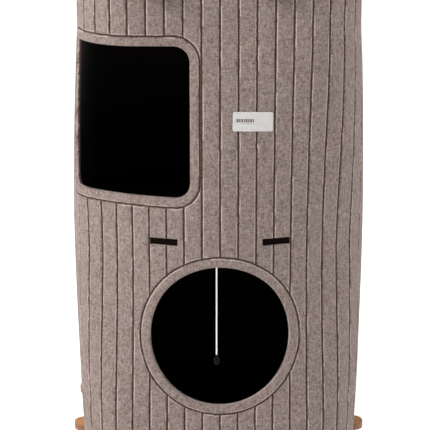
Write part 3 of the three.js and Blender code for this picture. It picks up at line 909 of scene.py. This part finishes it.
# ---- Back seam ----
def build_closing_strips():
    half = CLOSING_WIDTH / 2
    outer = -FELT - GAP
    for part, (low, high) in STRIPS_BEHIND_SEAM.items():
        holes = [RoundCut(s % ROUND, z, SEAM_HOLE, SEAM_HOLE, HOLE_SIDES)
                 for place, s, z in seam_screw_places() if place.startswith(part)]
        start, end = ROUND / 2 - half, ROUND / 2 + half
        lines_s = [start + half * i / 3 for i in range(1, 6)]
        rows = max(2, round((high - low) / STRIP_ROW))
        lines_z = [lerp(low, high, i / rows) for i in range(1, rows)]
        flat, triangles = flat_layout(low, high, start, end, holes, lines_s, lines_z, [])
        # The closing strips sit inside the tower and take the darkened inner felt, painted shade.
        strip = wrapped_sheet(f"closing_strip_{part}_felt", flat, triangles, outer,
                              outer - CLOSING_THICKNESS, INNER_FELT_PAINTED_SHADE, rim_round=0.8 * MM)
        settle(strip, "tower", "felt", f"closing_strip_{part}")


# Seam screws and their sleeves, drawn along the sheet's outward normal
HEXAGON = 6
SOFT_EDGE = 0.2 * MM
HEX_SOCKET = 2.3 * MM
SHANK = 1.9 * MM
SHANK_SHORT = 3 * MM  # of the strip's inner face
SHANK_POINT = 0.4 * MM
HEAD_CROWN = ((1.0, 0.6), (0.9, 1.15), (0.7, 1.5), (0.5, 1.6))  # shares of the radius, rises in mm
SLEEVE_CROWN = ((0.6, 0.0), (0.85, 0.25), (1.0, 0.8))
SLEEVE = 3 * MM
SLEEVE_BORE = 2.2 * MM
SLEEVE_FLOOR = 2 * MM
SLEEVE_MOUTH = -1 * MM
SLEEVE_CHAMFER = 0.3 * MM


def build_seam_screws():
    head_top = GAP + HEAD_HEIGHT
    strip_face = -FELT - GAP - CLOSING_THICKNESS
    shank_end = strip_face + SHANK_SHORT
    screw = [
        (0, shank_end), (SHANK - SHANK_POINT, shank_end), (SHANK, shank_end + SHANK_POINT), (SHANK, GAP),
        (HEAD_RADIUS - SOFT_EDGE, GAP), (HEAD_RADIUS, GAP + SOFT_EDGE),
    ]
    screw += [(share * HEAD_RADIUS, GAP + rise * MM) for share, rise in HEAD_CROWN]
    screw += [
        (HEX_SOCKET + SOFT_EDGE, head_top, HEXAGON), (HEX_SOCKET, head_top - SOFT_EDGE, HEXAGON),
        (HEX_SOCKET, GAP + 0.5 * MM, HEXAGON), (0, GAP + 0.3 * MM),
    ]
    seat = strip_face - GAP
    sleeve_top = seat - HEAD_HEIGHT
    sleeve = [
        (0, sleeve_top + 0.9 * MM), (HEX_SOCKET, sleeve_top + 0.8 * MM, HEXAGON),
        (HEX_SOCKET, sleeve_top + SOFT_EDGE, HEXAGON), (HEX_SOCKET + SOFT_EDGE, sleeve_top, HEXAGON),
    ]
    sleeve += [(share * HEAD_RADIUS, sleeve_top + rise * MM) for share, rise in SLEEVE_CROWN]
    bore_end = strip_face + SLEEVE_FLOOR
    sleeve += [
        (HEAD_RADIUS, seat - SOFT_EDGE), (HEAD_RADIUS - SOFT_EDGE, seat), (SLEEVE, seat),
        (SLEEVE, SLEEVE_MOUTH - SLEEVE_CHAMFER), (SLEEVE - SLEEVE_CHAMFER, SLEEVE_MOUTH),
        (SLEEVE_BORE, SLEEVE_MOUTH), (SLEEVE_BORE, bore_end), (0, bore_end),
    ]
    for place, s, z in seam_screw_places():
        turn = sheet_turn(s, z)
        for kind, profile, finish in (("screw", screw, ZINC), ("sleeve", sleeve, BLACKENED)):
            piece = turned(f"seam_{kind}_{place}_steel", profile, finish)
            move_mesh(piece, turn)
            settle(piece, "tower", "steel", f"seam_{kind}_{place}")


# ---- Feet ----
FOOT = 18 * MM
FOOT_BORE = 1.9 * MM
FOOT_RECESS = 5 * MM
FOOT_RECESS_DEPTH = 8 * MM
FOOT_TREADS = (8 * MM, 12.5 * MM)
TREAD_WIDTH = 2 * MM
TREAD_DEPTH = 0.6 * MM
FOOT_RIBS = (6 * MM, 11 * MM)
RIB_WIDTH = 1.5 * MM
RIB_DEPTH = 0.7 * MM
FOOT_ROUNDING = ((2.4, 0), (1, 0.5), (0.2, 1.4), (0, 2.4))  # in from the side, up, in mm
GROOVE_SLOPE = 0.4 * MM
FOOT_SCREW = 1.6 * MM
FOOT_SCREW_HEAD = 4 * MM
FOOT_SCREW_SOCKET = 1.5 * MM
FOOT_SCREW_FACE = 5.2 * MM
FOOT_SCREW_SEAT = 7.7 * MM
FOOT_SCREW_END = 25 * MM
FOOT_SCREW_TIP = 27 * MM


def groove_run(start, width):
    """Where a shallow groove starts, reaches its floor, leaves it and ends."""
    return start, start + GROOVE_SLOPE, start + width - GROOVE_SLOPE, start + width


def build_feet():
    top = BASE_UNDER - GAP
    foot = [(FOOT_RECESS, 0)]
    for tread in FOOT_TREADS:
        foot += zip(groove_run(tread, TREAD_WIDTH), (0, TREAD_DEPTH, TREAD_DEPTH, 0))
    foot += [(FOOT - inward * MM, up * MM) for inward, up in FOOT_ROUNDING]
    for rib in FOOT_RIBS:
        foot += zip((FOOT, FOOT - RIB_DEPTH, FOOT - RIB_DEPTH, FOOT), groove_run(rib, RIB_WIDTH))
    foot += [
        (FOOT, top - 0.5 * MM), (FOOT - 0.5 * MM, top), (FOOT_BORE, top),
        (FOOT_BORE, FOOT_RECESS_DEPTH), (FOOT_RECESS, FOOT_RECESS_DEPTH),
    ]
    screw = [
        (0, FOOT_SCREW_FACE + 1.1 * MM), (FOOT_SCREW_SOCKET, FOOT_SCREW_FACE + 1 * MM, HEXAGON),
        (FOOT_SCREW_SOCKET, FOOT_SCREW_FACE, HEXAGON), (2.8 * MM, FOOT_SCREW_FACE),
        (FOOT_SCREW_HEAD - 0.4 * MM, FOOT_SCREW_FACE + 0.3 * MM),
        (FOOT_SCREW_HEAD, FOOT_SCREW_FACE + 1 * MM), (FOOT_SCREW_HEAD, FOOT_SCREW_SEAT - SOFT_EDGE),
        (FOOT_SCREW_HEAD - SOFT_EDGE, FOOT_SCREW_SEAT), (FOOT_SCREW, FOOT_SCREW_SEAT),
        (FOOT_SCREW, FOOT_SCREW_END), (0, FOOT_SCREW_TIP),
    ]
    for corner in ("front_left", "front_right", "rear_left", "rear_right"):
        low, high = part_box(f"foot_{corner}")
        middle = Matrix.Translation(((low.x + high.x) / 2, (low.y + high.y) / 2, 0))
        rubber = move_mesh(turned(f"foot_{corner}_rubber", foot, RUBBER, sides=64), middle)
        settle(rubber, "tower", "rubber", f"foot_{corner}")
        steel = move_mesh(turned(f"foot_screw_{corner}_steel", screw, ZINC), middle)
        settle(steel, "tower", "steel", f"foot_screw_{corner}")


# ---- Label ----
LABEL_CORNER = 2.5 * MM
TICK_HALF_WIDTHS = (1.3, 1.0, 1.2, 0.8, 1.3, 0.9, 1.2, 0.7)  # in mm
TICK_HALF_HEIGHT = 2.3 * MM
TICK_CORNER = 0.3 * MM
TICK_PITCH = 3.1 * MM
FIRST_TICK = -21.2 * MM  # from the label's middle
TICK_RISE = 1.5 * MM
RULE_HALF_WIDTH = 8.2 * MM
RULE_HALF_HEIGHT = 0.5 * MM
RULE_CORNER = 0.2 * MM
RULE_SHIFT = -9.5 * MM
RULE_DROP = -2.6 * MM
PRINT_THICKNESS = 0.2 * MM
PRINT_SUNK = 0.05 * MM


def patch(name, place, half_s, half_z, radius, low, thickness, material, rows=2):
    """A small piece of cloth that lies along the sheet, its back face out from it by low."""
    middle_s, middle_z = place
    columns = 8
    shape = BoxCut(middle_s, middle_z, half_s, half_z, radius, steps=6)
    lines_s = [middle_s + half_s * (2 * i / columns - 1) for i in range(1, columns)]
    lines_z = [middle_z + half_z * (2 * i / rows - 1) for i in range(1, rows)]
    flat, triangles = flat_layout(
        middle_z - half_z, middle_z + half_z, middle_s - half_s, middle_s + half_s,
        [], lines_s, lines_z, [shape.loop()], shape)
    pivot = Vector((LABEL_MIDDLE, (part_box("label")[0].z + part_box("label")[1].z) / 2))
    turn = Matrix.Rotation(LABEL_TILT, 2)
    flat = [tuple(turn @ (Vector(point) - pivot) + pivot) for point in flat]
    return wrapped_sheet(
        name, flat, triangles, low + thickness, low, material, rim_round=0.2 * thickness)


def build_label():
    low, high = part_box("label")
    middle = (low.z + high.z) / 2
    label = patch("label_cloth", (LABEL_MIDDLE, middle), LABEL_WIDTH / 2, (high.z - low.z) / 2,
                  LABEL_CORNER, GAP, LABEL_THICKNESS, LABEL_CLOTH, rows=4)
    settle(label, "tower", "label_cloth", "label")
    face = GAP + LABEL_THICKNESS - PRINT_SUNK
    for i, half_width in enumerate(TICK_HALF_WIDTHS):
        place = (LABEL_MIDDLE + TICK_PITCH * i + FIRST_TICK, middle + TICK_RISE)
        tick = patch(f"label_tick_{i + 1}", place, half_width * MM, TICK_HALF_HEIGHT,
                     TICK_CORNER, face, PRINT_THICKNESS, LABEL_INK)
        settle(tick, "tower", "label_cloth")
    place = (LABEL_MIDDLE + RULE_SHIFT, middle + RULE_DROP)
    rule = patch("label_rule", place, RULE_HALF_WIDTH, RULE_HALF_HEIGHT,
                 RULE_CORNER, face, PRINT_THICKNESS, LABEL_FAINT)
    settle(rule, "tower", "label_cloth")


# ---- Hanging toy ----
STRAND = 0.52 * CORD_RADIUS
STRAND_OFFSET = 0.46 * CORD_RADIUS
CORD_LAY = 8 * MM  # along the cord for one turn of its strands
CORD_STEPS = 160
LOOP_STEPS = 90
LOOP_TURNS = 4
EYE_OPENING = math.radians(14)
EYE_STEPS = 60
EYE_RISE_STEPS = 12
KNOT_STEPS = 96
KNOT_WIRE = 0.36  # of the knot's radius
DROP_RINGS = 18
DROP_LUMPS = 0.15 * MM
DROP_LUMPS_PER_METRE = 900
ALONG_X = Vector((1, 0, 0))
ALONG_Y = Vector((0, 1, 0))


def turn_in_yz(a):
    """A unit arrow in the YZ plane, turned from +Y towards +Z."""
    return Vector((0, math.cos(a), math.sin(a)))


def middle_and_half(node):
    """The middle of a node's box, and half its size each way."""
    low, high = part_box(node)
    return (low + high) / 2, (high - low) / 2


def build_toy():
    eye_low, eye_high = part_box("screw_eye")
    x, y = (eye_low.x + eye_high.x) / 2, (eye_low.y + eye_high.y) / 2
    wire = (eye_high.x - eye_low.x) / 2
    eye_radius = (eye_high.y - eye_low.y) / 2 - wire
    eye_middle = Vector((x, y, eye_low.z + wire + eye_radius))
    sweep = 2 * math.pi - EYE_OPENING
    turns = [math.pi / 2 + EYE_OPENING + sweep * i / EYE_STEPS for i in range(EYE_STEPS + 1)]
    bent = [eye_middle + eye_radius * turn_in_yz(a) for a in turns]
    start, end = bent[-1].z + 0.6 * wire, eye_high.z - wire
    shares = [i / EYE_RISE_STEPS for i in range(EYE_RISE_STEPS + 1)]
    rise = [Vector((x, y, lerp(start, end, share))) for share in shares]
    eye = tubes("screw_eye_steel", [bent, rise], wire, False, ZINC, sides=16)
    settle(eye, "tower", "steel", "screw_eye")

    ring_middle, ring_half = middle_and_half("toy_ring")
    ring = torus("toy_ring_steel", ring_half.x - ring_half.y, ring_half.y, ZINC, rings=64, sides=16)
    across = Matrix.Rotation(math.pi / 2, 4, "Z")
    move_mesh(ring, Matrix.Translation((x, y, ring_middle.z)) @ across)
    settle(ring, "ring", "steel", "toy_ring")

    loop_middle, loop_half = middle_and_half("cord_loop")
    loop_middle = Vector((x, y, loop_middle.z))
    angles = [2 * math.pi * i / LOOP_STEPS for i in range(LOOP_STEPS)]
    line = [loop_middle + (loop_half.y - CORD_RADIUS) * turn_in_yz(a) for a in angles]
    twisted = strands(line + line[:1], lambda share: (ALONG_X, turn_in_yz(2 * math.pi * share)),
                      STRAND_OFFSET, LOOP_TURNS)
    loop = tubes("cord_loop_cotton", [path[:-1] for path in twisted], STRAND, True, CORD)
    settle(loop, "toy", "cord", "cord_loop")

    knot_middle, knot_half = middle_and_half("cord_knot")
    knot_middle = Vector((x, y, knot_middle.z))
    knot_wire = KNOT_WIRE * knot_half.z
    reach = (knot_half.z - knot_wire) / 3
    trefoil = []
    for i in range(KNOT_STEPS):
        a = 2 * math.pi * i / KNOT_STEPS
        lobe_x = math.sin(a) + 2 * math.sin(2 * a)
        lobe_z = math.cos(a) - 2 * math.cos(2 * a)
        trefoil.append(knot_middle + reach * Vector((lobe_x, -1.6 * math.sin(3 * a), lobe_z)))
    knot = tubes("cord_knot_cotton", [trefoil], knot_wire, True, CORD)
    settle(knot, "toy", "cord", "cord_knot")

    cord_low, cord_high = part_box("toy_cord")
    length = cord_high.z - cord_low.z
    shares = [i / CORD_STEPS for i in range(CORD_STEPS + 1)]
    line = [Vector((x, y, lerp(cord_high.z, cord_low.z, share))) for share in shares]
    twisted = strands(line, lambda share: (ALONG_X, ALONG_Y), STRAND_OFFSET, length / CORD_LAY)
    cord = tubes("toy_cord_cotton", twisted, STRAND, False, CORD)
    settle(cord, "toy", "cord", "toy_cord")

    drop_low, drop_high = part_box("felt_drop")
    tall = drop_high.z - drop_low.z
    wide = (drop_high.x - drop_low.x) / 2
    profile = [(0, 0)]
    for i in range(1, DROP_RINGS):
        share = i / DROP_RINGS
        swell = math.sin(math.pi * share**0.75) ** 0.8
        least = 0.3 if share > 0.9 else 0.0
        profile.append((wide * max(least, swell), tall * share))
    profile.append((0, tall))
    drop = turned("felt_drop_wool", profile, TOY_FELT, sides=32, sharp=80)
    move_mesh(drop, Matrix.Translation((x, y, drop_low.z)))
    for vertex in drop.data.vertices:
        vertex.co += vertex.normal * (noise.noise(vertex.co * DROP_LUMPS_PER_METRE) * DROP_LUMPS)
    settle(drop, "toy", "toy_felt", "felt_drop")


# ---- Cushion ----
CUSHION_SIDES = 128
CUSHION_SLACK = 8 * MM  # room on every side for the pad to swell, and how far a point may move
CUSHION_SHRINK = 5 * MM
CUSHION_ROUNDING = 6 * MM
CUSHION_CROWN = 3 * MM
CUSHION_PROUD = 2 * MM
VOXEL = 6 * MM
SWELL_FRAMES = 20
PIPING_STEPS = 180
PIPING_RADIUS = 1.9 * MM
PIPING_SUNK = 0.4 * MM
WELL_OUTSIDE = 0.4


def apply_modifiers(piece):
    shown = piece.evaluated_get(bpy.context.evaluated_depsgraph_get())
    mesh = bpy.data.meshes.new_from_object(shown)
    old = piece.data
    piece.modifiers.clear()
    piece.data = mesh
    bpy.data.meshes.remove(old)


def inflate(pad, rest, cap):
    """Blows the pad up as cloth, then holds every point within cap of where it was."""
    cloth = pad.modifiers.new("cover", "CLOTH")
    cloth.settings.use_pressure = True
    cloth.settings.uniform_pressure_force = 4
    cloth.settings.effector_weights.gravity = 0
    cloth.point_cache.frame_start = 1
    cloth.point_cache.frame_end = SWELL_FRAMES
    for number in range(1, SWELL_FRAMES + 1):
        bpy.context.scene.frame_set(number)
    apply_modifiers(pad)
    bpy.context.scene.frame_set(1)
    for vertex, place in zip(pad.data.vertices, rest):
        moved = vertex.co - place
        if moved.length > cap:
            vertex.co = place + moved * (cap / moved.length)


def build_piping(name, pad, z):
    """A piped seam round the pad where its cover is joined."""
    tree = BVHTree.FromObject(pad, bpy.context.evaluated_depsgraph_get())
    path = []
    for i in range(PIPING_STEPS):
        a = 2 * math.pi * i / PIPING_STEPS
        out = Vector((math.cos(a), math.sin(a), 0))
        hit = tree.ray_cast(WELL_OUTSIDE * out + Vector((0, 0, z)), -out)[0]
        path.append(hit - PIPING_SUNK * out)
    eased = [(before + here * 2 + after) / 4
             for before, here, after in zip(path[-1:] + path, path, path[1:] + path[:1])]
    piping = tubes(name, [eased], PIPING_RADIUS, True, PIPING_CLOTH, sides=10)
    settle(piping, "cushion", "cushion_fabric")


def build_cushion():
    low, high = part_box("top_cushion")
    edge = -FELT - 2 * GAP - CLOSING_THICKNESS - HEAD_HEIGHT - CUSHION_PLAY
    count = CUSHION_SIDES
    runs = [-ROUND / 2 + ROUND * i / count for i in range(count)]
    bottom, top = low.z + CUSHION_SLACK, high.z - CUSHION_SLACK
    levels = [(bottom, CUSHION_ROUNDING), (bottom + CUSHION_ROUNDING, 0),
              (top - CUSHION_ROUNDING, 0), (top, CUSHION_ROUNDING)]
    vertices = []
    for level, inset in levels:
        for s in runs:
            vertex = on_sheet(s, TOP_PLATE_TOP, edge - CUSHION_SHRINK - inset)
            vertex.z = level
            vertices.append(vertex)
    faces = [tuple(reversed(range(count))), tuple(range(3 * count, 4 * count))]
    for ring in range(3):
        a, b = ring * count, (ring + 1) * count
        faces += [(a + i, a + (i + 1) % count, b + (i + 1) % count, b + i) for i in range(count)]
    pad = new_object("top_cushion_pad", vertices, faces, CUSHION_CLOTH)
    remesh = pad.modifiers.new("voxels", "REMESH")
    remesh.mode = "VOXEL"
    remesh.voxel_size = VOXEL
    apply_modifiers(pad)
    rest = [v.co.copy() for v in pad.data.vertices]
    inflate(pad, rest, CUSHION_SLACK)
    for vertex in pad.data.vertices:
        across = min(1.0, Vector((vertex.co.x, vertex.co.y, 0)).length / high.x)
        if vertex.co.z > (low.z + high.z) / 2:
            vertex.co.z += CUSHION_CROWN * (1 - across**2)
        vertex.co.z = min(max(vertex.co.z, low.z), high.z + CUSHION_PROUD)
    pad.modifiers.new("smooth_cover", "SUBSURF").levels = 1
    apply_modifiers(pad)
    pad.data.shade_smooth()
    settle(pad, "cushion", "cushion_fabric", "top_cushion")
    build_piping("cushion_piping_lower", pad, low.z + 11 * MM)
    build_piping("cushion_piping_upper", pad, high.z - 12 * MM)


# ---- Floor and light ----
FLOOR_HALF = 30.0
FLOOR_GLOW = 0.6
ROOM_LIGHT = 0.3
AIM = Vector((0, 0, 0.4))
LAMPS = (
    ("key_softbox", (-3.0, -1.2, 2.4), 1.6, 172),
    ("rim_softbox", (3.2, -0.3, 2.0), 1.6, 76),
    ("front_softbox", (-0.6, -1.7, 3.0), 1.0, 20),
)


def build_stage():
    material, _, shader = new_material("pale_floor", roughness=0.9)
    shader.inputs["Base Color"].default_value = (0.9, 0.9, 0.9, 1)
    shader.inputs["Emission Color"].default_value = WHITE
    shader.inputs["Emission Strength"].default_value = FLOOR_GLOW
    corners = [(FLOOR_HALF * across, FLOOR_HALF * back, 0)
               for across, back in ((-1, -1), (1, -1), (1, 1), (-1, 1))]
    floor = new_object("floor", corners, [(0, 1, 2, 3)], material)

    world = bpy.data.worlds.new("studio")
    world.use_nodes = True
    world.node_tree.nodes["Background"].inputs["Color"].default_value = WHITE
    world.node_tree.nodes["Background"].inputs["Strength"].default_value = ROOM_LIGHT
    bpy.context.scene.world = world

    for name, place, size, watts in LAMPS:
        data = bpy.data.lights.new(name, "AREA")
        data.energy = watts
        data.size = size
        light = bpy.data.objects.new(name, data)
        light.location = place
        light.rotation_euler = (AIM - Vector(place)).to_track_quat("-Z", "Y").to_euler()
        bpy.context.scene.collection.objects.link(light)


build_toy()
build_felt()
build_plates()
build_closing_strips()
build_seam_screws()
build_feet()
build_label()
build_cushion()
build_stage()
bpy.context.scene.view_settings.view_transform = "Standard"
